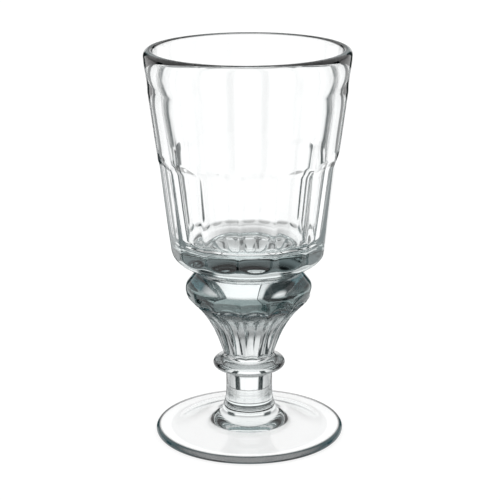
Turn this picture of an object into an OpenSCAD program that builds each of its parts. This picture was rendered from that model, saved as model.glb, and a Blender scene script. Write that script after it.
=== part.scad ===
// Absinthe glass, pressed in one piece of clear glass.
// A cone-shaped bowl with a thick lip is cut with tall flat panels that end in arches. Below it
// are a solid base, a narrow neck, a round collar cut with flutes, a trumpet that thins down to
// a cordon ring, a short stem and a broad foot.
// The origin is the centre of the resting face, +Z is up, and a panel faces -Y.

/* [Foot and stem] */
// Width across the foot
foot_d = 78.8; // [64:0.2:96]
// Thickness of the foot at its edge
foot_edge_t = 3.2; // [2.4:0.1:5]
// Rise of the foot from its edge to where the stem springs
foot_rise = 2.5; // [1:0.1:4]
// Depth of the hollow ground into the underside
foot_hollow = 0.8; // [0.3:0.1:1.6]
// Width of the flat ring that the glass rests on
foot_land_w = 7; // [4:0.5:12]
// Width of the stem at its waist
stem_d = 19.4; // [16:0.1:22]
// Height of the stem, from the table to where it flares into the cordon ring
stem_h = 26.6; // [22:0.2:34]

/* [Cordon ring] */
// Width across the cordon ring
ring_d = 30; // [26:0.2:38]
// Radius of the cordon ring's rounded edge
ring_round = 1.75; // [1.2:0.05:2.4]
// Height of the flare from the stem to the middle of the ring
ring_under_h = 3.9; // [3:0.1:6]
// Height of the flare from the middle of the ring to the trumpet
ring_over_h = 3.9; // [3:0.1:6]

/* [Trumpet and collar] */
// Height of the trumpet, from the cordon ring to the knuckle under the collar
trumpet_h = 23.6; // [16:0.2:34]
// Width of the trumpet where it leaves the cordon ring
trumpet_d = 21.2; // [17:0.1:24]
// Width across the collar
collar_d = 52.5; // [46:0.5:60]
// Height from the knuckle to the collar's widest line
collar_under_h = 5.4; // [4.4:0.1:6.4]
// Height from the collar's widest line to the neck
collar_over_h = 7.3; // [5.6:0.1:9]
// Radius of the rounding under the collar
collar_under_round = 8.2; // [6.6:0.1:10]
// Radius of the rounding over the collar
collar_over_round = 3.8; // [2.8:0.1:5]
// Number of flutes round the trumpet
flute_count = 14; // [10:1:18]
// Depth of a flute's middle below the round trumpet, at the knuckle
flute_depth = 0.7; // [0.5:0.1:1.4]
// Height of a flute's arched top above the knuckle
flute_top_h = 2.2; // [1.4:0.1:3]
// Rise of a flute's arched top between its two ridges
flute_arch_rise = 1.7; // [1:0.1:2.4]

/* [Bowl] */
// Width of the narrow neck between the collar and the bowl
neck_d = 43; // [36:0.2:47]
// Width of the bowl's cone at its heel
heel_d = 63.8; // [57:0.2:70]
// Radius of the heel's rounding
heel_round = 7.6; // [6:0.1:9]
// Height of the heel, from the neck to the cone
heel_h = 9.8; // [8:0.1:13]
// Height of the bowl, from its heel to the top of the lip
bowl_h = 82.6; // [70:0.2:104]
// Width across the lip
lip_d = 84; // [76:0.5:96]
// Height of the thickened lip
lip_h = 16.5; // [10:0.5:24]
// How far the lip stands out beyond the top of the cone
lip_out = 1.45; // [0.6:0.05:2.4]
// Radius of the lip's outer rounding
lip_round = 2.4; // [1.6:0.1:3]
// Thickness of the lip at its widest line
lip_t = 3.7; // [3.2:0.1:5]
// Thickness of the solid base between the neck and the inner floor
base_t = 12.4; // [10:0.2:20]
// Thickness of the bowl's side at the inner floor
side_t = 5; // [4:0.1:6]
// Radius of the inner floor's corner
floor_round = 6; // [3:0.5:9]

/* [Panels] */
// Number of flat panels round the bowl
panel_count = 14; // [8:1:18]
// Height of the ridges between panels above the heel
panel_h = 37.8; // [28:0.2:52]
// Rise of a panel's arched top between its two ridges
panel_arch_rise = 2.6; // [1.5:0.1:4]
// Depth of a panel's middle under its arch
panel_top_depth = 1.4; // [1:0.1:2]
// Depth of a panel's middle at the heel
panel_heel_depth = 0.5; // [0.1:0.1:1.4]
// Slope of the arched step, as its height for each millimetre of depth
panel_step_slope = 1; // [0.4:0.1:1.6]

/* [Hidden] */
$fn = 96;

// Radii
foot_r = foot_d / 2;
stem_r = stem_d / 2;
ring_r = ring_d / 2;
trumpet_r = trumpet_d / 2;
collar_r = collar_d / 2;
neck_r = neck_d / 2;
heel_r = heel_d / 2;
lip_r = lip_d / 2;
lip_inner_r = lip_r - lip_t;
lip_in_round = lip_t - lip_round;
shoulder_r = lip_r - lip_out;

// Heights above the table, from the foot up
ring_z = stem_h + ring_under_h;
trumpet_z = ring_z + ring_over_h;
knuckle_z = trumpet_z + trumpet_h;
collar_z = knuckle_z + collar_under_h;
neck_z = collar_z + collar_over_h;
heel_z = neck_z + heel_h;
floor_z = neck_z + base_t;
lip_z = heel_z + bowl_h;
shoulder_z = lip_z - lip_h;
cusp_z = heel_z + panel_h;

// Pulls that bend the trumpet's curve: how far out from its foot, and how far up it
low_pull = [2.4, trumpet_h * 0.292];
high_pull = [4.3, trumpet_h * 0.637];

// Lean of the bowl's side out from upright
side_lean = atan((shoulder_r - heel_r) / (shoulder_z - heel_z));

// Radius of the bowl's outer cone at height z
function cone_r(z) = heel_r + (z - heel_z) * tan(side_lean);

// Points along a circle's arc, and along a cubic curve between two points
function arc(middle, r, from, to, n = 12) =
    [for (i = [0 : n]) let (a = from + (to - from) * i / n)
        middle + r * [cos(a), sin(a)]];
function bend(a, b, c, d, n = 12) =
    [for (i = [0 : n]) let (t = i / n, s = 1 - t)
        s * s * s * a + 3 * s * s * t * b + 3 * s * t * t * c + t * t * t * d];

// Radius at the underside of the collar, at height z
function under_collar_r(z) =
    collar_r - collar_under_round
    + sqrt(collar_under_round * collar_under_round - (collar_z - z) * (collar_z - z));
knuckle_r = under_collar_r(knuckle_z);

// Radius of the circle whose arc spans a chord with the given rise
function arch_radius(half_chord, rise) =
    (half_chord * half_chord + rise * rise) / (2 * rise);

// Foot, stem and cordon ring, as one turned outline
module foot_and_stem() {
    edge_r = foot_edge_t / 2;
    edge_arc = 80;
    top_z = foot_edge_t + foot_rise;
    ring_in = ring_r - ring_round;
    ring_arc = 74;
    edge_in = ring_in + ring_round * cos(ring_arc);
    edge_h = ring_round * sin(ring_arc);
    outline = concat(
        [[0, foot_hollow]],
        bend([foot_r * 0.3, foot_hollow], [foot_r * 0.6, foot_hollow],
            [foot_r * 0.7, foot_hollow * 0.5], [foot_r - edge_r - foot_land_w, 0], 6),
        arc([foot_r - edge_r, edge_r], edge_r, -90, edge_arc, 10),
        bend([foot_r - edge_r * 3, foot_edge_t + 0.5], [foot_r * 0.55, top_z],
            [stem_r - 2, top_z + 2.4], [stem_r, stem_h - 3.2]),
        bend([stem_r, stem_h - 0.6], [stem_r + 0.1, stem_h + 0.9],
            [stem_r + 1.6, ring_z - edge_h - 0.5], [edge_in, ring_z - edge_h], 6),
        arc([ring_in, ring_z], ring_round, -ring_arc + 10, ring_arc - 10, 10),
        bend([edge_in, ring_z + edge_h], [trumpet_r + 1.4, ring_z + edge_h + 0.4],
            [trumpet_r + 0.1, trumpet_z - 1], [trumpet_r, trumpet_z], 6),
        [[0, trumpet_z]]
    );
    rotate_extrude() polygon(outline);
}

// Trumpet, collar, neck and bowl in the round, before the flutes and panels are cut
module turned_body() {
    bead_z = lip_z - lip_round;
    outline = concat(
        [[0, ring_z], [trumpet_r, ring_z]],
        bend([trumpet_r, trumpet_z], [trumpet_r, trumpet_z] + low_pull,
            [trumpet_r, trumpet_z] + high_pull, [knuckle_r, knuckle_z]),
        [for (i = [1 : 5]) let (z = knuckle_z + (collar_z - knuckle_z) * i / 6)
            [under_collar_r(z), z]],
        arc([collar_r - collar_over_round, collar_z], collar_over_round, 0, 45, 5),
        [[neck_r, neck_z]],
        arc([heel_r - heel_round * cos(side_lean), heel_z + heel_round * sin(side_lean)],
            heel_round, -70, -side_lean, 9),
        bend([shoulder_r, shoulder_z], [shoulder_r - 0.1, shoulder_z + lip_h * 0.33],
            [lip_r, bead_z - lip_h * 0.3], [lip_r, bead_z], 8),
        arc([lip_r - lip_round, bead_z], lip_round, 0, 90, 8),
        arc([lip_inner_r + lip_in_round, lip_z - lip_in_round], lip_in_round, 106, 170, 4),
        [[0, lip_z - lip_in_round]]
    );
    rotate_extrude() polygon(outline);
}

// Hollow of the bowl
module cavity() {
    floor_r = heel_r - side_t;
    lean = atan((lip_inner_r - floor_r) / (lip_z - floor_z));
    rotate_extrude() polygon(concat(
        [[0, floor_z]],
        arc([floor_r - floor_round * cos(lean) + floor_round * tan(lean), floor_z + floor_round],
            floor_round, -90, -lean, 10),
        [[lip_inner_r, lip_z - lip_in_round], [lip_inner_r, lip_z + 1], [0, lip_z + 1]]
    ));
}

// Cutter for one flat panel that faces +X: all that lies outside the panel's plane and under
// the arch, whose step slopes outwards
module panel_cutter() {
    half = 180 / panel_count;
    half_chord = cone_r(cusp_z) * sin(half);
    arch_r = arch_radius(half_chord, panel_arch_rise);
    arch_z = cusp_z + panel_arch_rise - arch_r;
    function plane_r(z) = cone_r(z) - panel_heel_depth
        - (panel_top_depth - panel_heel_depth) * (z - heel_z) / panel_h;
    out = lip_r + 4;
    low = neck_z - 4;
    foot_in = plane_r(cusp_z);
    grow = (out - foot_in) * panel_step_slope;
    intersection() {
        rotate([90, 0, 0]) linear_extrude(3 * out, center = true)
            polygon([[plane_r(low), low], [out, low], [out, lip_z], [plane_r(lip_z), lip_z]]);
        union() {
            translate([foot_in, 0, arch_z]) rotate([0, 90, 0])
                cylinder(r1 = arch_r, r2 = arch_r + grow, h = out - foot_in);
            translate([0, 0, arch_z]) rotate([0, 90, 0]) cylinder(r = arch_r, h = foot_in);
            translate([0, -1.5 * out, low - 1]) cube([out, 3 * out, arch_z - low + 1]);
        }
    }
}

// Cutter for one flute that faces +X: all that lies outside its bent face and under its arch
module flute_cutter() {
    half = 180 / flute_count;
    apex_z = knuckle_z + flute_top_h;
    half_chord = under_collar_r(apex_z) * tan(half);
    arch_r = arch_radius(half_chord, flute_arch_rise);
    low_r = trumpet_r * cos(half) - 0.1;
    top_r = knuckle_r - flute_depth;
    out = collar_r + 4;
    face = concat(
        [[low_r, ring_z]],
        bend([low_r, trumpet_z], [low_r, trumpet_z] + low_pull,
            [low_r, trumpet_z] + high_pull, [top_r, knuckle_z], 9),
        [[top_r + flute_top_h * 0.15, apex_z + 1]],
        [[out, apex_z + 1], [out, ring_z]]
    );
    intersection() {
        rotate([90, 0, 0]) linear_extrude(3 * out, center = true) polygon(face);
        translate([0, 0, apex_z - arch_r]) union() {
            rotate([0, 90, 0]) cylinder(r = arch_r, h = out + 1);
            translate([0, -1.5 * out, ring_z - 1 - apex_z + arch_r])
                cube([out + 1, 3 * out, apex_z - arch_r - ring_z + 1]);
        }
    }
}

module absinthe_glass() color([0.86, 0.93, 0.93, 0.5]) union() {
    foot_and_stem();
    difference() {
        turned_body();
        cavity();
        for (i = [0 : panel_count - 1]) rotate(-90 + i * 360 / panel_count) panel_cutter();
        for (i = [0 : flute_count - 1]) rotate(-90 + i * 360 / flute_count) flute_cutter();
    }
}

absinthe_glass();
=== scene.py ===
# %% [markdown]
# # Absinthe glass
# This is a heavy pressed glass: a cone-shaped bowl with flat panels under a thick lip, a solid
# base, a fluted collar on a trumpet, a cordon ring, a short stem and a broad foot.
# A real one is pressed in one piece. The mould gives the outside its panels and flutes, and a
# plunger gives the inside its plain cone. The script works in the same order: it spins the outline
# round the axis, and then presses the panels and flutes into it.
# The glass is clear, so the light and what stands round it matter as much as the shape.

# %% [markdown]
# ## Frame
# The frame brings the glass as it was made in CAD, in metres and at its real size.

# %% Load the frame
import math
import bmesh
import bpy
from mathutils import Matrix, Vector


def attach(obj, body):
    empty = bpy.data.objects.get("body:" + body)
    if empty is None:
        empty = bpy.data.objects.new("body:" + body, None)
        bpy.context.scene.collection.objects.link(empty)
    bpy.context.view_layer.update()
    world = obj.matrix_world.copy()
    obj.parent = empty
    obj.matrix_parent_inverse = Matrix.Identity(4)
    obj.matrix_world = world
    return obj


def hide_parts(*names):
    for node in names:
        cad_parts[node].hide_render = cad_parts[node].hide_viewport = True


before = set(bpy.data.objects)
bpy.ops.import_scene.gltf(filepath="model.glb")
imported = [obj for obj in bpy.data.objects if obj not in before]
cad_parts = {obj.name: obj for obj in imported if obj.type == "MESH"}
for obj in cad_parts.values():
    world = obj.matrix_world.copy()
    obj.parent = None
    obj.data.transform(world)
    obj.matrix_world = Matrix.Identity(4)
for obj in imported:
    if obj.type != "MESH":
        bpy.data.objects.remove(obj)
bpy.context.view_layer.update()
MM = 0.001

# %% [markdown]
# ## Measures
# Every size is a real one, in metres, and radii are half of the widths. Each part has its own
# height. The places, whose names end in _Z, are stacked up from the table to the lip, so a change
# of one height moves everything above it.

# %% Sizes of the foot, stem and ring
FOOT_R = 39.4 * MM
FOOT_EDGE = 3.2 * MM  # thickness at the rounded edge
FOOT_RISE = 2.5 * MM  # from the edge's top to where the stem sets off
FOOT_HOLLOW = 3 * MM  # depth of the hollow underneath
FOOT_LAND = 5 * MM  # width of the flat ring that the foot stands on
STEM_R = 9.7 * MM
STEM_H = 26.6 * MM  # from the table to where the ring sets off
RING_R = 15 * MM
RING_ROUND = 1.75 * MM  # radius of the ring's round edge
RING_UNDER_H = 3.9 * MM  # from the stem to the ring's middle
RING_OVER_H = 3.9 * MM  # from the ring's middle to the trumpet
RING_Z = STEM_H + RING_UNDER_H
TRUMPET_Z = RING_Z + RING_OVER_H
print("ring's middle at", round(RING_Z / MM, 2), "mm, trumpet from", round(TRUMPET_Z / MM, 2), "mm")

# %% Sizes of the trumpet, collar and neck
TRUMPET_R = 10.6 * MM  # at its foot
TRUMPET_H = 23.6 * MM
COLLAR_R = 26.25 * MM
COLLAR_UNDER = 8.2 * MM  # radius of the round under the collar's widest line
COLLAR_OVER = 3.8 * MM  # radius of the round over it
COLLAR_UNDER_H = 5.4 * MM  # from the trumpet's top, the knuckle, to the widest line
COLLAR_OVER_H = 7.3 * MM  # from the widest line to the neck
NECK_R = 21.5 * MM
KNUCKLE_Z = TRUMPET_Z + TRUMPET_H
COLLAR_Z = KNUCKLE_Z + COLLAR_UNDER_H
NECK_Z = COLLAR_Z + COLLAR_OVER_H
print("collar's widest line at", round(COLLAR_Z / MM, 2), "mm, neck at", round(NECK_Z / MM, 2), "mm")

# %% Sizes of the bowl and lip
HEEL_R = 31.9 * MM  # where the heel's round ends and the side starts
HEEL_H = 9.8 * MM  # from the neck to there
HEEL_ROUND = 7.6 * MM
BOWL_H = 82.6 * MM  # from there to the lip
LIP_R = 42 * MM
LIP_H = 16.5 * MM  # from the shoulder, where the lip's band starts, to the lip
LIP_OUT = 1.45 * MM  # from the shoulder out to the lip
LIP_ROUND = 2.4 * MM
LIP_T = 3.7 * MM
BASE_T = 12.4 * MM  # from the neck to the inner floor
SIDE_T = 5 * MM
FLOOR_ROUND = 6 * MM
HEEL_Z = NECK_Z + HEEL_H
FLOOR_Z = NECK_Z + BASE_T
LIP_Z = HEEL_Z + BOWL_H
SHOULDER_Z = LIP_Z - LIP_H
SHOULDER_R = LIP_R - LIP_OUT
LEAN = math.atan((SHOULDER_R - HEEL_R) / (SHOULDER_Z - HEEL_Z))
print("lip at", round(LIP_Z / MM, 2), "mm, side leans", round(math.degrees(LEAN), 2), "degrees")

# %% [markdown]
# The panels and flutes are set by their count, their arches and how deep they cut. Two arches meet
# in a cusp, on the ridge between them. A panel lies deeper under its arch than at the heel, so
# strips of the round side widen downwards between the panels, as on the real glass.

# %% Sizes of the panels and flutes
PANELS = 14
CUSP_Z = HEEL_Z + 37.8 * MM
ARCH_RISE = 2.6 * MM  # from the cusps to the top of an arch
PANEL_TOP_DEPTH = 1.4 * MM
PANEL_HEEL_DEPTH = 0.5 * MM
FLUTES = 14
FLUTE_TOP_Z = KNUCKLE_Z + 2.2 * MM
FLUTE_RISE = 1.7 * MM  # from the flutes' cusps to the top of their arches
FLUTE_CUSP_Z = FLUTE_TOP_Z - FLUTE_RISE
FLUTE_DEPTH = 0.7 * MM
FLUTE_HOLLOW = 0.9 * MM  # how much deeper a flute is in its middle than a flat one
SCALLOP = 0.35 * MM  # depth of the shallow scallops on the collar over the flutes
STEPS = 448  # round the whole axis
print("steps round the axis for a panel and a flute:", STEPS // PANELS, STEPS // FLUTES)

# %% [markdown]
# ## Outline
# An outline is a list of (radius, height) points. Its round stretches are arcs. Its flowing ones
# are cubic curves, which leave one point towards a second, and reach the last from a third, like a
# curve with two handles in the editor. Both are worked out here because that gives full control
# over the rows: a press can only shape what has rows of points near it.

# %% Curves for the outline
def arc(middle, radius, start, end, count):
    """Points on a circle's arc, with angles in degrees from straight out."""
    turns = [math.radians(start + (end - start) * i / count) for i in range(count + 1)]
    return [(middle[0] + radius * math.cos(t), middle[1] + radius * math.sin(t)) for t in turns]


def bend(a, b, c, d, count):
    """Points on a cubic curve from a to d, pulled towards b and c."""
    points = []
    for i in range(count + 1):
        t = i / count
        weights = ((1 - t) ** 3, 3 * t * (1 - t) ** 2, 3 * t * t * (1 - t), t ** 3)
        points.append(tuple(sum(w * p[k] for w, p in zip(weights, (a, b, c, d))) for k in (0, 1)))
    return points


print("a quarter of a round ends at", [round(v, 3) for v in arc((0, 0), 1, 0, 90, 4)[-1]])

# %% [markdown]
# ## Foot
# The foot is a broad disc with a rounded edge. Its top rises gently and turns up into the stem.
# Underneath, a hollow leaves a flat ring to stand on. The hollow bends light like a weak lens, and
# that makes the foot look clear instead of like a grey slab.

# %% Foot
HOLLOW_ROWS = (0, 0.12, 0.24)  # shares of the foot's radius, on the flat middle of the hollow
EDGE_END = 80  # degrees up from straight out, where the edge's round ends
edge_r = FOOT_EDGE / 2
flare_z = FOOT_EDGE + FOOT_RISE
hollow_start = (FOOT_R * 0.34, FOOT_HOLLOW)
hollow_pull = (FOOT_R * 0.45, FOOT_HOLLOW)
land_pull = (FOOT_R * 0.62, FOOT_HOLLOW * 0.45)
land_start = (FOOT_R - edge_r - FOOT_LAND, 0)
top_start = (FOOT_R - edge_r * 3, FOOT_EDGE + 0.5 * MM)
flare_out = (STEM_R + 3 * MM, flare_z + 0.3 * MM)
flare_in = (STEM_R - 0.6 * MM, flare_z + 0.6 * MM)
flare_end = (STEM_R, STEM_H - 3.2 * MM)
foot_line = (
    [(FOOT_R * share, FOOT_HOLLOW) for share in HOLLOW_ROWS]
    + bend(hollow_start, hollow_pull, land_pull, land_start, 10)
    + arc((FOOT_R - edge_r, edge_r), edge_r, -90, EDGE_END, 10)
    + bend(top_start, flare_out, flare_in, flare_end, 18))
print("foot:", len(foot_line), "points, out to", round(max(r for r, z in foot_line) / MM, 2), "mm")

# %% [markdown]
# ## Stem and ring
# The stem is short and straight. The cordon ring is a round bead, and a bend on each side of it
# lets it flow into the stem below and the trumpet above, because pressed glass has no sharp inner
# corners. Each bend brings its own point where it meets the bead, so the bead's arc starts and ends
# one step away from them.

# %% Stem and ring
BEAD_ARC = 74  # degrees from straight out, where the bead ends
BEAD_STEP = 10  # degrees from there to the first row of its arc
bead_middle = RING_R - RING_ROUND
bead_end_r = bead_middle + RING_ROUND * math.cos(math.radians(BEAD_ARC))
bead_end_h = RING_ROUND * math.sin(math.radians(BEAD_ARC))
stem_top = (STEM_R, STEM_H - 0.6 * MM)
stem_pull = (STEM_R + 0.1 * MM, STEM_H + 0.9 * MM)
under_pull = (STEM_R + 1.6 * MM, RING_Z - bead_end_h - 0.5 * MM)
over_pull = (TRUMPET_R + 1.4 * MM, RING_Z + bead_end_h + 0.4 * MM)
trumpet_pull = (TRUMPET_R + 0.1 * MM, TRUMPET_Z - 1 * MM)
under_end = (bead_end_r, RING_Z - bead_end_h)
over_end = (bead_end_r, RING_Z + bead_end_h)
stem_line = (
    bend(stem_top, stem_pull, under_pull, under_end, 10)
    + arc((bead_middle, RING_Z), RING_ROUND, BEAD_STEP - BEAD_ARC, BEAD_ARC - BEAD_STEP, 14)
    + bend(over_end, over_pull, trumpet_pull, (TRUMPET_R, TRUMPET_Z), 10)[:-1])
print("stem and ring:", len(stem_line), "points")

# %% [markdown]
# ## Trumpet and collar
# The trumpet flows out from the ring up to the knuckle, where the collar's round underside starts.
# The collar's underside and top are arcs with radii of their own, and a straight slope leads from
# the top to the neck. The rows lie close together at the flutes' arches, so that the arches come
# out crisp. The trumpet's curve is a function, because the flutes' faces follow it too.

# %% Trumpet
def under_collar_r(z):
    """Radius of the collar's round underside at a height."""
    return COLLAR_R - COLLAR_UNDER + math.sqrt(COLLAR_UNDER ** 2 - (COLLAR_Z - z) ** 2)


def trumpet_curve(low_r, high_r, count):
    """The trumpet's flowing curve, with radii at its foot and at the knuckle."""
    low_pull = (low_r + 2.4 * MM, TRUMPET_Z + TRUMPET_H * 0.292)
    high_pull = (low_r + 4.3 * MM, TRUMPET_Z + TRUMPET_H * 0.637)
    return bend((low_r, TRUMPET_Z), low_pull, high_pull, (high_r, KNUCKLE_Z), count)


KNUCKLE_R = under_collar_r(KNUCKLE_Z)
trumpet_line = trumpet_curve(TRUMPET_R, KNUCKLE_R, 22)
print("knuckle radius in mm:", round(KNUCKLE_R / MM, 2))

# %% Collar
FLUTE_ROW, COLLAR_ROW = 0.2 * MM, 0.6 * MM  # from row to row at the arches, and above them
COLLAR_END = 45  # degrees up from straight out, where the collar's top goes straight
collar_rows = [FLUTE_CUSP_Z + i * FLUTE_ROW for i in range(-2, 4)]
collar_rows += [COLLAR_Z - i * COLLAR_ROW for i in range(6, 0, -1)]
collar_line = (
    [(under_collar_r(z), z) for z in collar_rows]
    + arc((COLLAR_R - COLLAR_OVER, COLLAR_Z), COLLAR_OVER, 0, COLLAR_END, 8)
    + [(NECK_R, NECK_Z)])
print("trumpet and collar:", len(trumpet_line) + len(collar_line), "points")

# %% [markdown]
# ## Bowl and lip
# The heel is a round that turns the solid base up into the side. The side is a plain cone, and a
# soft shoulder lets the lip's band stand out from it. Rows lie close together round the arches
# again, and far apart where the cone has nothing to show.

# %% Bowl and lip
def cone_r(z):
    """Radius of the bowl's round side at a height."""
    return HEEL_R + (z - HEEL_Z) * math.tan(LEAN)


def between(low, high, count):
    """The numbers that cut the way from low to high into equal steps, without the two ends."""
    return [low + (high - low) * i / count for i in range(1, count)]


HEEL_START = -70  # degrees from straight out, where the slope from the neck meets the heel
ARCH_ROW = 0.34 * MM  # from row to row at the arches
LIP_STEP = 9  # degrees from the band's last row to the first one of the lip's round
heel_middle = (HEEL_R - HEEL_ROUND * math.cos(LEAN), HEEL_Z + HEEL_ROUND * math.sin(LEAN))
heel_line = arc(heel_middle, HEEL_ROUND, HEEL_START, -math.degrees(LEAN), 14)
arch_rows = [CUSP_Z + i * ARCH_ROW for i in range(-13, 4)]
side_rows = between(heel_line[-1][1], arch_rows[0], 6) + arch_rows
side_rows += between(arch_rows[-1], SHOULDER_Z, 6)
shoulder_pull = (SHOULDER_R - 0.1 * MM, SHOULDER_Z + 5.4 * MM)
band_pull = (LIP_R, LIP_Z - LIP_ROUND - 5 * MM)
lip_line = (
    bend((SHOULDER_R, SHOULDER_Z), shoulder_pull, band_pull, (LIP_R, LIP_Z - LIP_ROUND), 12)
    + arc((LIP_R - LIP_ROUND, LIP_Z - LIP_ROUND), LIP_ROUND, LIP_STEP, 90, 9))
bowl_line = heel_line + [(cone_r(z), z) for z in side_rows] + lip_line
print("bowl and lip:", len(bowl_line), "points, out to", round(max(r for r, z in bowl_line) / MM, 2), "mm")

# %% [markdown]
# ## Inside
# The plunger leaves a plain cone with a flat floor and a round corner. The lip's inner edge is
# rounded less than its outer one. This outline runs down from the lip to the middle of the floor.

# %% Inside
RIM_END = 172  # degrees from straight out, where the lip's inner round meets the wall
FLOOR_ROWS = (0.6, 0.3, 0)  # shares of the floor's flat radius
LIP_IN_R = LIP_R - LIP_T
LIP_IN_ROUND = LIP_T - LIP_ROUND
floor_r = HEEL_R - SIDE_T
in_lean = math.atan((LIP_IN_R - floor_r) / (LIP_Z - FLOOR_Z))
flat_r = floor_r - FLOOR_ROUND * math.cos(in_lean) + FLOOR_ROUND * math.tan(in_lean)
rim_line = arc((LIP_IN_R + LIP_IN_ROUND, LIP_Z - LIP_IN_ROUND), LIP_IN_ROUND, 90, RIM_END, 7)
corner_line = arc((flat_r, FLOOR_Z + FLOOR_ROUND), FLOOR_ROUND, -math.degrees(in_lean), -90, 12)
wall_top, wall_foot = rim_line[-1], corner_line[0]
wall_line = list(zip(*(between(wall_top[k], wall_foot[k], 6) for k in (0, 1))))
inside_line = rim_line + wall_line + corner_line + [(flat_r * share, FLOOR_Z) for share in FLOOR_ROWS]
print("inside:", len(inside_line), "points, wall leans", round(math.degrees(in_lean), 2), "degrees")

# %% [markdown]
# ## Pressing
# A press works in sectors, one for each panel or flute. It slides every point round towards the
# ridges of its sector, because that is where the surface turns fastest and needs the most points.
# It lifts the rows so that they follow the arches. Then it pushes the point in to the sector's face.
# Moving the points of a spun shape keeps its rows tidy, which a boolean cut would not do, and tidy
# rows give smooth reflections.

# %% Helpers for the presses
def smooth(value):
    """Eases from 0 to 1."""
    t = min(max(value, 0), 1)
    return t * t * (3 - 2 * t)


def climb(z, start, length):
    """Eases from 0 at a start to 1 a length above it."""
    return smooth((z - start) / length)


def drop(z, end, length):
    """Eases from 1 a length below an end to 0 at the end."""
    return smooth((end - z) / length)


def soft_min(a, b, width):
    """The smaller of two lengths, rounded where they meet."""
    return (a + b - math.sqrt((a - b) ** 2 + width * width)) / 2


def sector(angle, count):
    """Angle from the middle of the nearest sector, and half a sector; one sector faces -Y."""
    width = 2 * math.pi / count
    turn = (angle + math.pi / 2 + width / 2) % width - width / 2
    return turn, width / 2


def crowd(turn, half, amount):
    """Slides an angle towards its sector's ridges."""
    return turn + amount * half / math.pi * math.sin(math.pi * turn / half)


def bow(turn, half):
    """1 in the middle of a sector, and 0 at its ridges."""
    return 1 - (turn / half) ** 2


def ridge_round(turn, half, width):
    """How much farther out a flat face lies than in its middle, rounded off at the ridges."""
    away = math.hypot(half - abs(turn), width)
    return 1 / math.cos(half - away)


stretch = ridge_round(math.pi / PANELS, math.pi / PANELS, 0)
print("a flat panel's ridges lie", round((stretch - 1) * 100, 2), "percent farther out than its middle")

# %% [markdown]
# A panel is a flat plane that leans with the bowl's side. Its cut runs out under the arch in a
# sloping step: the nearer a row is to the cusps, the less deep it may be cut.

# %% Press for the panels
PANEL_CROWD = 0.7  # how strongly points are crowded at the ridges
CROWD_IN, CROWD_OUT = 6 * MM, 20 * MM  # heights over which that sets in, and ends at the shoulder
LIFT_BELOW, LIFT_IN = 26 * MM, 22 * MM  # where lifting starts below the cusps, and how slowly
LIFT_ABOVE, LIFT_OUT = 20 * MM, 18 * MM  # where it ends above them, and how slowly
PANEL_RIDGE = 0.010  # radians over which a ridge is rounded
PANEL_EDGE = 0.12 * MM  # softness where the plane leaves the round side
STEP_SLOPE = 0.42  # depth of cut that the step allows for each length below the cusps
STEP_EDGE = 0.3 * MM  # softness of the step
STEP_REACH = 10 * MM  # how far below the cusps it is looked at


def panel_face(z):
    """Distance of a panel's plane from the axis at a height."""
    up = (z - HEEL_Z) / (CUSP_Z - HEEL_Z)
    return cone_r(z) - PANEL_HEEL_DEPTH - (PANEL_TOP_DEPTH - PANEL_HEEL_DEPTH) * up


def press_panel(r, angle, z):
    """Moves a point of the bowl's outside onto its panel."""
    turn, half = sector(angle, PANELS)
    fade = climb(z, NECK_Z, CROWD_IN) * drop(z, SHOULDER_Z, CROWD_OUT)
    slid = crowd(turn, half, PANEL_CROWD * fade)
    near = min(climb(z, CUSP_Z - LIFT_BELOW, LIFT_IN), drop(z, CUSP_Z + LIFT_ABOVE, LIFT_OUT))
    lifted = z + ARCH_RISE * bow(slid, half) * near
    if z > HEEL_Z:
        r += (lifted - z) * math.tan(LEAN)
    face = panel_face(lifted) * ridge_round(slid, half, PANEL_RIDGE)
    depth = r - soft_min(r, face, PANEL_EDGE)
    step = -soft_min(STEP_SLOPE * (z - CUSP_Z), 0, STEP_EDGE)
    r -= soft_min(depth, step, STEP_EDGE) if z > CUSP_Z - STEP_REACH else depth
    return r, angle - turn + slid, lifted


print("panel face at the arches, in mm from the axis:", round(panel_face(CUSP_Z) / MM, 2))

# %% [markdown]
# A flute follows the trumpet's curve a little closer to the axis, and is hollow across, so that two
# flutes meet in a sharp ridge. Its arch cuts into the collar's round underside with a steep step,
# and a shallow scallop continues each flute over the collar.

# %% Press for the flutes
FLUTE_CROWD = 0.6  # how strongly points are crowded at the ridges
FLUTE_CROWD_IN, FLUTE_CROWD_OUT = 8 * MM, 3 * MM  # heights over which that sets in and ends
FLUTE_LIFT_BELOW, FLUTE_LIFT_IN = 7 * MM, 6 * MM  # where lifting starts below the cusps, and how slowly
FLUTE_LIFT_OUT = 4 * MM  # over which it ends at the collar's widest line
FLUTE_RIDGE = 0.012  # radians over which a ridge is rounded
FLUTE_EDGE = 0.1 * MM  # softness of a flute's edges and its step
FLUTE_SLOPE = 3  # depth of cut that the step allows for each length below the cusps
FLUTE_REACH = 3 * MM  # how far below the cusps it is looked at
SCALLOP_IN = 1 * MM  # over which the scallops set in at the flutes' cusps
SCALLOP_ABOVE, SCALLOP_OUT = 2 * MM, 5 * MM  # where they end over the widest line, and how slowly
HOLLOW_BELOW = 6 * MM  # below the trumpet's foot, where the flutes' hollow would start from nothing
FACE_LEAN = 0.15  # how far a flute's face leans out over the knuckle, for each length up
FACE_LOW_R = TRUMPET_R * math.cos(math.pi / FLUTES) - 0.1 * MM
FACE_HIGH_R = KNUCKLE_R - FLUTE_DEPTH
face_line = trumpet_curve(FACE_LOW_R, FACE_HIGH_R, 40)
face_line.append((FACE_HIGH_R + FACE_LEAN * (FLUTE_TOP_Z - KNUCKLE_Z), FLUTE_TOP_Z + MM))


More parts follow.
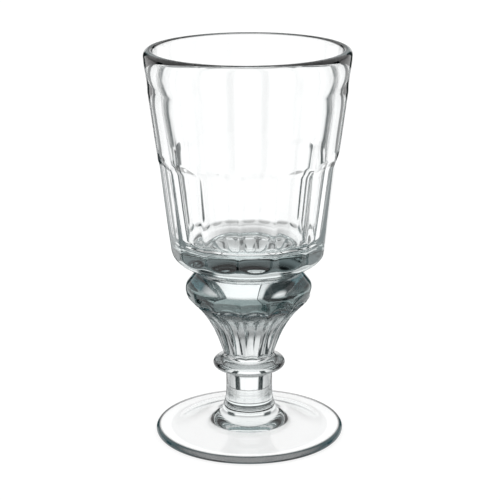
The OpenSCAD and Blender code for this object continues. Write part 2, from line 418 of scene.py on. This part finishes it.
def flute_face(z):
    """Distance of a flute's face from the axis at a height."""
    for (r0, z0), (r1, z1) in zip(face_line, face_line[1:]):
        if z <= z1:
            return r0 + (r1 - r0) * (z - z0) / (z1 - z0)
    return face_line[-1][0]


def press_flute(r, angle, z):
    """Moves a point of the trumpet or collar onto its flute."""
    turn, half = sector(angle, FLUTES)
    fade = climb(z, TRUMPET_Z, FLUTE_CROWD_IN) * drop(z, COLLAR_Z, FLUTE_CROWD_OUT)
    slid = crowd(turn, half, FLUTE_CROWD * fade)
    lift_start = FLUTE_CUSP_Z - FLUTE_LIFT_BELOW
    near = min(climb(z, lift_start, FLUTE_LIFT_IN), drop(z, COLLAR_Z, FLUTE_LIFT_OUT))
    lifted = z + FLUTE_RISE * bow(slid, half) * near
    if KNUCKLE_Z < z < COLLAR_Z:
        r = under_collar_r(min(lifted, COLLAR_Z))
    on_collar = climb(z, FLUTE_CUSP_Z, SCALLOP_IN) * drop(z, COLLAR_Z + SCALLOP_ABOVE, SCALLOP_OUT)
    r -= SCALLOP * on_collar * bow(slid, half)
    hollow = FLUTE_HOLLOW * climb(z, TRUMPET_Z - HOLLOW_BELOW, TRUMPET_H) * bow(slid, half)
    face = flute_face(lifted) * ridge_round(slid, half, FLUTE_RIDGE) - hollow
    depth = r - soft_min(r, face, FLUTE_EDGE)
    step = -FLUTE_SLOPE * soft_min(z - FLUTE_CUSP_Z, 0, FLUTE_EDGE)
    r -= soft_min(depth, step, FLUTE_EDGE) if z > FLUTE_CUSP_Z - FLUTE_REACH else depth
    return r, angle - turn + slid, lifted


print("flute face at the knuckle, in mm from the axis:", round(flute_face(KNUCKLE_Z) / MM, 2))

# %% [markdown]
# ## The glass
# Three spins make the outside, from the foot to the lip, and a fourth makes the inside, so that
# each press gets only its own stretch. Each spin is a quarter turn, because the glass is the same
# on both sides of X and Y. Mirroring it twice and merging the doubles closes it all the way round.
# Where the stretches meet, the presses leave fine seams: up to half a millimetre where the trumpet
# starts, and less at the neck and on the lip. The cell prints how many edges are open there.

# %% Spin the outline
def spin(bm, line, press=None):
    """Spins a line of (radius, height) points through a quarter turn and presses it."""
    verts = [bm.verts.new((0, -r, z)) for r, z in line]
    edges = [bm.edges.new(pair) for pair in zip(verts, verts[1:])]
    before = set(bm.verts) - set(verts)
    bmesh.ops.spin(bm, geom=verts + edges, axis=(0, 0, 1), cent=(0, 0, 0),
                   angle=math.pi / 2, steps=STEPS // 4)
    if press:
        for v in set(bm.verts) - before:
            r, angle, z = press(math.hypot(v.co.x, v.co.y), math.atan2(v.co.y, v.co.x), v.co.z)
            v.co = Vector((r * math.cos(angle), r * math.sin(angle), z))


bm = bmesh.new()
spin(bm, foot_line + stem_line + trumpet_line[:1])
spin(bm, trumpet_line + collar_line, press_flute)
spin(bm, collar_line[-1:] + bowl_line, press_panel)
spin(bm, bowl_line[-1:] + inside_line)
print("a quarter of the glass has", len(bm.faces), "faces")

# %% Mirror it and make it a mesh
MIRROR_MERGE, SEAM_MERGE = 0.001 * MM, 0.01 * MM
for axis in ("X", "Y"):
    whole = bm.verts[:] + bm.edges[:] + bm.faces[:]
    bmesh.ops.mirror(bm, geom=whole, axis=axis, merge_dist=MIRROR_MERGE)
bmesh.ops.remove_doubles(bm, verts=bm.verts, dist=SEAM_MERGE)
bmesh.ops.recalc_face_normals(bm, faces=bm.faces)
mesh = bpy.data.meshes.new("glass_body")
bm.to_mesh(mesh)
print("faces:", len(bm.faces), "open edges:", sum(e.is_boundary for e in bm.edges),
      "volume in cm3:", round(bm.calc_volume() / MM ** 3 / 1000, 1))
bm.free()

# %% [markdown]
# The object rides on the frame's root, because the glass has no moving parts. It takes the place of
# the CAD piece, which is hidden.

# %% Put the glass into the frame
mesh.shade_smooth()
glass = bpy.data.objects.new("glass_body", mesh)
bpy.context.scene.collection.objects.link(glass)
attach(glass, "root")
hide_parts("absinthe_glass")
print("glass in the frame, with", len(mesh.polygons), "faces")

# %% [markdown]
# ## Node helpers
# Both materials and the world are built from a few kinds of node: sums, smooth ramps, windows and
# mixes of colours. A helper for each keeps the formulas short enough to read.

# %% Node helpers
def new_material(name):
    """An empty material; returns it with its node tree and output."""
    material = bpy.data.materials.new(name)
    material.use_nodes = True
    tree = material.node_tree
    tree.nodes.clear()
    return material, tree, tree.nodes.new("ShaderNodeOutputMaterial")


def calc(tree, operation, *values):
    """A maths node fed with numbers or sockets; returns its result."""
    node = tree.nodes.new("ShaderNodeMath")
    node.operation = operation
    for socket, value in zip(node.inputs, values):
        if isinstance(value, (int, float)):
            socket.default_value = value
        else:
            tree.links.new(value, socket)
    return node.outputs[0]


def ramp(tree, value, start, end, low=0, high=1):
    """Goes smoothly from low to high while the value goes from start to end."""
    node = tree.nodes.new("ShaderNodeMapRange")
    node.interpolation_type = "SMOOTHSTEP"
    tree.links.new(value, node.inputs["Value"])
    for name, number in (("From Min", start), ("From Max", end), ("To Min", low), ("To Max", high)):
        node.inputs[name].default_value = number
    return node.outputs["Result"]


def window(tree, value, start, full, full_end, end):
    """1 from full to full_end, and smoothly down to 0 at start and at end."""
    return calc(tree, "MULTIPLY", ramp(tree, value, start, full), ramp(tree, value, end, full_end))


def blend(tree, factor, first, second):
    """Mixes two colours, each a tuple or a socket; returns the result."""
    node = tree.nodes.new("ShaderNodeMix")
    node.data_type = "RGBA"
    tree.links.new(factor, node.inputs["Factor"])
    for name, colour in (("A", first), ("B", second)):
        if isinstance(colour, tuple):
            node.inputs[name].default_value = (*colour, 1)
        else:
            tree.links.new(colour, node.inputs[name])
    return node.outputs["Result"]


print("node helpers:", [helper.__name__ for helper in (new_material, calc, ramp, window, blend)])

# %% [markdown]
# ## Clear glass
# The Principled shader bends light as real glass does, with an index of 1.5. Glass has hardly any
# colour of its own: a thin sheet looks clear, and a faint blue-green shows only where light goes a
# long way through it. So that tint is in the volume, and not on the surface.

# %% Clear glass
GLASS_IOR = 1.5
GLASS_TINT, TINT_DENSITY = (0.6, 0.9, 0.9, 1), 4
clear, tree, output = new_material("clear_glass")
shader = tree.nodes.new("ShaderNodeBsdfPrincipled")
tree.links.new(shader.outputs["BSDF"], output.inputs["Surface"])
shader.inputs["Transmission Weight"].default_value = 1
shader.inputs["Roughness"].default_value = 0
shader.inputs["IOR"].default_value = GLASS_IOR
absorb = tree.nodes.new("ShaderNodeVolumeAbsorption")
absorb.inputs["Color"].default_value = GLASS_TINT
absorb.inputs["Density"].default_value = TINT_DENSITY
tree.links.new(absorb.outputs["Volume"], output.inputs["Volume"])
print("clear glass made, with an index of", GLASS_IOR)

# %% [markdown]
# ## Dark edges, partly painted shade
# What gives clear glass its drawing is the dark line wherever a surface turns away from the eye.
# The studio's dark gaps give most of these lines. The rest is painted shade in the surface: four
# masks, made from the place on the glass and from how much a surface faces the eye, each blend the
# white base colour towards a dark teal. The first paints shade on whatever is seen side-on, and the
# others on the sides of the solid knop, the band of the collar and the edge of the foot.

# %% Where on the glass
place = tree.nodes.new("ShaderNodeTexCoord").outputs["Object"]
spot = tree.nodes.new("ShaderNodeSeparateXYZ")
tree.links.new(place, spot.inputs[0])
up = spot.outputs["Z"]
across_x = calc(tree, "POWER", spot.outputs["X"], 2)
across_y = calc(tree, "POWER", spot.outputs["Y"], 2)
out_r = calc(tree, "SQRT", calc(tree, "ADD", across_x, across_y))
facing = tree.nodes.new("ShaderNodeLayerWeight")
facing.inputs["Blend"].default_value = 0.5
side_on = facing.outputs["Facing"]
KNOP = (14 * MM, 17 * MM, 70 * MM, 74 * MM)  # stem, ring, trumpet and collar, faded at both ends
knop = window(tree, up, *KNOP)
print("the knop reaches from", KNOP[0] / MM, "to", KNOP[-1] / MM, "mm")

# %% Masks for the painted shade on the edges
GRAZING, KNOP_TURN, EDGE_TURN = (0.7, 1), (0.05, 0.38), (0.08, 0.35)  # 0 faces the eye, 1 is side-on
LOW_KNOP, KNOP_EASE = 0.72, 6 * MM  # strength below the knuckle, and height over which it grows
FACED_EDGE = 0.95  # strength on the foot's edge where it faces the eye
BAND = (KNUCKLE_Z + 0.5 * MM, KNUCKLE_Z + 2.5 * MM, COLLAR_Z + 2 * MM, COLLAR_Z + 3.4 * MM)
EDGE_IN, EDGE_FULL = FOOT_R - 2.4 * MM, FOOT_R - 1.2 * MM  # radii over which the foot's edge darkens
EDGE_TOP = 10 * MM  # height under which a surface belongs to the foot
# Where painted shade darkens the glass: surfaces seen side-on, the knop's sides, the collar's band and the
# foot's edge.
grazing_shade = ramp(tree, side_on, *GRAZING)
knop_part = calc(tree, "MULTIPLY", knop, ramp(tree, up, KNUCKLE_Z - KNOP_EASE, KNUCKLE_Z, LOW_KNOP, 1))
knop_side_shade = calc(tree, "MULTIPLY", ramp(tree, side_on, *KNOP_TURN), knop_part)
collar_shade = window(tree, up, *BAND)
low_down = calc(tree, "LESS_THAN", up, EDGE_TOP)
foot_rim = calc(tree, "MULTIPLY", ramp(tree, out_r, EDGE_IN, EDGE_FULL), low_down)
foot_edge_shade = calc(tree, "MULTIPLY", foot_rim, ramp(tree, side_on, *EDGE_TURN, FACED_EDGE, 1))
print("masks made, with", len(tree.nodes), "nodes so far")

# %% Colours of the painted shade on the edges
PURE_WHITE = (1, 1, 1)
# Dark teals of painted shade; the glass's own faint tint stays in the volume.
SIDE_ON_SHADE_TEAL, KNOP_SHADE_TEAL = (0.01, 0.03, 0.035), (0.004, 0.016, 0.02)
COLLAR_SHADE_TEAL, FOOT_EDGE_SHADE_TEAL = (0.07, 0.1, 0.1), (0.0005, 0.003, 0.004)
# Each mask blends the white base colour towards its painted shade.
colour = blend(tree, grazing_shade, PURE_WHITE, SIDE_ON_SHADE_TEAL)
colour = blend(tree, knop_side_shade, colour, KNOP_SHADE_TEAL)
colour = blend(tree, collar_shade, colour, COLLAR_SHADE_TEAL)
colour = blend(tree, foot_edge_shade, colour, FOOT_EDGE_SHADE_TEAL)
tree.links.new(colour, shader.inputs["Base Color"])
print("base colour is fed by", shader.inputs["Base Color"].links[0].from_node.name)

# %% [markdown]
# ## Light that stays inside
# In a thick base, light is reflected many times before it comes out. A render stops following a ray
# after a few reflections and takes it for black, so the base would look far too dark. A faint glow
# stands in for the light that is lost. Only rays that have been reflected three times or more see
# it, and only between the trumpet and the lower half of the bowl.

# %% Light that stays inside
GLOW_TINT, GLOW = (0.84, 0.97, 1, 1), 0.055
MANY_BOUNCES = 2.5
GLOW_PART = (34 * MM, 38 * MM, 112 * MM, 130 * MM)  # trumpet to lower bowl, faded at both ends
bounces = tree.nodes.new("ShaderNodeLightPath").outputs["Glossy Depth"]
trapped = calc(tree, "MULTIPLY", calc(tree, "GREATER_THAN", bounces, MANY_BOUNCES), GLOW)
glow_part = window(tree, up, *GLOW_PART)
tree.links.new(calc(tree, "MULTIPLY", trapped, glow_part), shader.inputs["Emission Strength"])
shader.inputs["Emission Color"].default_value = GLOW_TINT
print("glow of", GLOW, "for rays reflected more than", MANY_BOUNCES, "times")

# %% [markdown]
# ## Ripple
# Pressed glass cools unevenly against its mould, and is polished in a flame. That leaves a slow
# ripple, which shows most on the knop, where many faces mirror each other. A bump of a few
# hundredths of a millimetre is enough to break up reflections that are too straight.

# %% Ripple
RIPPLE_SCALE, RIPPLE_STRENGTH, RIPPLE_HEIGHT = 60, 0.35, 0.05 * MM
KNOP_RIPPLE = 3  # how much stronger it is on the knop, on top of the ripple everywhere
ripple = tree.nodes.new("ShaderNodeTexNoise")
ripple.inputs["Scale"].default_value = RIPPLE_SCALE
ripple.inputs["Detail"].default_value = 1
bump = tree.nodes.new("ShaderNodeBump")
bump.inputs["Strength"].default_value = RIPPLE_STRENGTH
bump.inputs["Distance"].default_value = RIPPLE_HEIGHT
amount = calc(tree, "MULTIPLY_ADD", knop, KNOP_RIPPLE, 1)
tree.links.new(place, ripple.inputs["Vector"])
tree.links.new(calc(tree, "MULTIPLY", ripple.outputs["Fac"], amount), bump.inputs["Height"])
tree.links.new(bump.outputs["Normal"], shader.inputs["Normal"])
mesh.materials.append(clear)
print("glass material made, with", len(tree.nodes), "nodes")

# %% [markdown]
# ## Studio
# Glass shows what stands round it, so it is photographed between bright screens with dark gaps.
# Here the world is white to the camera, and rays that the glass bends or mirrors see a studio: eight
# bright strips with a narrow dark gap between each two, dimmer higher up, a darker belt far below,
# and a pale ceiling. The pattern is the same every 45 degrees, so that the glass looks alike from
# every side. Rays that have been reflected more than once see it darker, and the darkest places
# turn a little teal.

# %% Directions in the world
FRONT = math.radians(-6.1)
STRIPS = 8
world = bpy.data.worlds.new("studio")
bpy.context.scene.world = world
world.use_nodes = True
tree = world.node_tree
tree.nodes.clear()
way = tree.nodes.new("ShaderNodeSeparateXYZ")
tree.links.new(tree.nodes.new("ShaderNodeTexCoord").outputs["Generated"], way.inputs[0])
azimuth = calc(tree, "ADD", calc(tree, "ARCTAN2", way.outputs["X"], way.outputs["Y"]), FRONT)
height = calc(tree, "MULTIPLY", calc(tree, "ARCSINE", way.outputs["Z"]), 180 / math.pi)
from_strip = calc(tree, "PINGPONG", azimuth, math.pi / STRIPS)
across = calc(tree, "MULTIPLY", from_strip, 180 / math.pi)
print("a strip's middle comes every", 360 / STRIPS, "degrees")

# %% Strips, belt and ceiling
GAP = 0.03  # brightness of the gaps
STRIP_EDGE = (15, 19)  # degrees from a strip's middle, from where it dims to where the gap starts
STRIP_TOP, HIGH_STRIP = (2, 10), 0.5  # degrees up over which a strip dims, and what it dims to
BELT_TOP, BELT = (-48, -36), 0.4  # degrees up over which the belt below dims, and what it dims to
BELT_FOOT, UNDER_BELT = (-66, -54), 0.55  # where it turns bright again, and how much it gains
CEILING_EDGE, CEILING = (12, 24), 0.85  # degrees up over which the ceiling starts, and its brightness
strips = ramp(tree, across, *STRIP_EDGE, 1, GAP)
strips = calc(tree, "MULTIPLY", strips, ramp(tree, height, *STRIP_TOP, 1, HIGH_STRIP))
below_belt = ramp(tree, height, *BELT_FOOT, UNDER_BELT, 0)
belt = calc(tree, "ADD", ramp(tree, height, *BELT_TOP, BELT, 1), below_belt)
strips = calc(tree, "MULTIPLY", strips, belt)
ceiling = ramp(tree, height, *CEILING_EDGE)
walls = calc(tree, "MULTIPLY", strips, calc(tree, "SUBTRACT", 1, ceiling))
studio = calc(tree, "ADD", walls, calc(tree, "MULTIPLY", ceiling, CEILING))
print("each strip is", 2 * STRIP_EDGE[0], "degrees wide, and each gap", 360 / STRIPS - 2 * STRIP_EDGE[1])

# %% World
WHITE, REFLECTED = 1.09, 0.35  # how bright the studio is with at most one reflection, and from three on
GAP_TINT, TINTED = (0.62, 0.95, 1), (0.05, 0.4)  # colour of the darkest places, and how bright they are
rays = tree.nodes.new("ShaderNodeLightPath")
studio = calc(tree, "MULTIPLY", studio, ramp(tree, rays.outputs["Glossy Depth"], 1, 3, WHITE, REFLECTED))
to_camera = rays.outputs["Is Camera Ray"]
not_to_camera = calc(tree, "SUBTRACT", 1, to_camera)
seen = calc(tree, "MAXIMUM", to_camera, calc(tree, "MULTIPLY", studio, not_to_camera))
sky = tree.nodes.new("ShaderNodeBackground")
tree.links.new(blend(tree, ramp(tree, seen, *TINTED), GAP_TINT, PURE_WHITE), sky.inputs["Color"])
tree.links.new(seen, sky.inputs["Strength"])
tree.links.new(sky.outputs[0], tree.nodes.new("ShaderNodeOutputWorld").inputs["Surface"])
print("world made, with", len(tree.nodes), "nodes")

# %% [markdown]
# ## Floor
# The glass stands on white paper that runs out of the picture on all sides. The paper glows a
# little below white, and what light falls on it makes up the rest, so the glass keeps a faint
# shadow. Under the foot, rays that come through the glass see the paper too, and farther out they
# go on to the studio, as if the paper ended there.

# %% Floor
FLOOR_R = 6  # metres, far past the edges of the picture
bm = bmesh.new()
bmesh.ops.create_circle(bm, cap_ends=True, segments=96, radius=FLOOR_R)
floor_mesh = bpy.data.meshes.new("floor")
bm.to_mesh(floor_mesh)
bm.free()
floor = bpy.data.objects.new("floor", floor_mesh)
bpy.context.scene.collection.objects.link(floor)
print("floor made,", 2 * FLOOR_R, "m across")

# %% White paper
PAPER_GLOW, PAPER_GREY = 0.8, (0.3, 0.3, 0.3, 1)
PAPER_EDGE = 8 * MM  # past the foot, where the paper fades out for rays through the glass
paper, tree, output = new_material("white_paper")
glow = tree.nodes.new("ShaderNodeEmission")
glow.inputs["Strength"].default_value = PAPER_GLOW
matt = tree.nodes.new("ShaderNodeBsdfDiffuse")
matt.inputs["Color"].default_value = PAPER_GREY
lit_paper = tree.nodes.new("ShaderNodeAddShader")
tree.links.new(glow.outputs[0], lit_paper.inputs[0])
tree.links.new(matt.outputs[0], lit_paper.inputs[1])
see_through = tree.nodes.new("ShaderNodeBsdfTransparent")
from_middle = tree.nodes.new("ShaderNodeVectorMath")
from_middle.operation = "LENGTH"
tree.links.new(tree.nodes.new("ShaderNodeTexCoord").outputs["Object"], from_middle.inputs[0])
under_glass = ramp(tree, from_middle.outputs["Value"], FOOT_R, FOOT_R + PAPER_EDGE, 1, 0)
camera_ray = tree.nodes.new("ShaderNodeLightPath").outputs["Is Camera Ray"]
pick = tree.nodes.new("ShaderNodeMixShader")
tree.links.new(calc(tree, "MAXIMUM", camera_ray, under_glass), pick.inputs[0])
tree.links.new(see_through.outputs[0], pick.inputs[1])
tree.links.new(lit_paper.outputs[0], pick.inputs[2])
tree.links.new(pick.outputs[0], output.inputs["Surface"])
floor_mesh.materials.append(paper)
print("white paper made, with", len(tree.nodes), "nodes")

# %% [markdown]
# ## Camera
# It stands in front, 12 centimetres above the lip, and looks down at the glass with a long lens.
# Its place and lens were worked out from the ellipses of the mouth and the foot. A roll of a quarter
# of a degree lets the glass lean as it does in the picture.

# %% Camera
CAMERA_OUT, CAMERA_UP = 0.684, 0.2795  # metres from the axis, and above the table
CAMERA_DIP, CAMERA_ROLL = 0.285, 0.0045  # radians
LENS, SENSOR, SHIFT = 124.3, 36, 0.0072
camera_data = bpy.data.cameras.new("camera")
camera_data.sensor_width = SENSOR
camera_data.lens = LENS
camera_data.shift_x = SHIFT
camera = bpy.data.objects.new("camera", camera_data)
bpy.context.scene.collection.objects.link(camera)
camera.location = (CAMERA_OUT * math.sin(FRONT), -CAMERA_OUT * math.cos(FRONT), CAMERA_UP)
camera.rotation_euler = (math.pi / 2 - CAMERA_DIP, CAMERA_ROLL, FRONT)
bpy.context.scene.camera = camera
print("camera at", [round(v, 3) for v in camera.location], "and dips by", CAMERA_DIP, "radians")

# %% [markdown]
# ## Finish
# White paper and a white world have to come out as plain white, so the view transform is Standard.

# %% Finish
bpy.context.scene.view_settings.view_transform = "Standard"
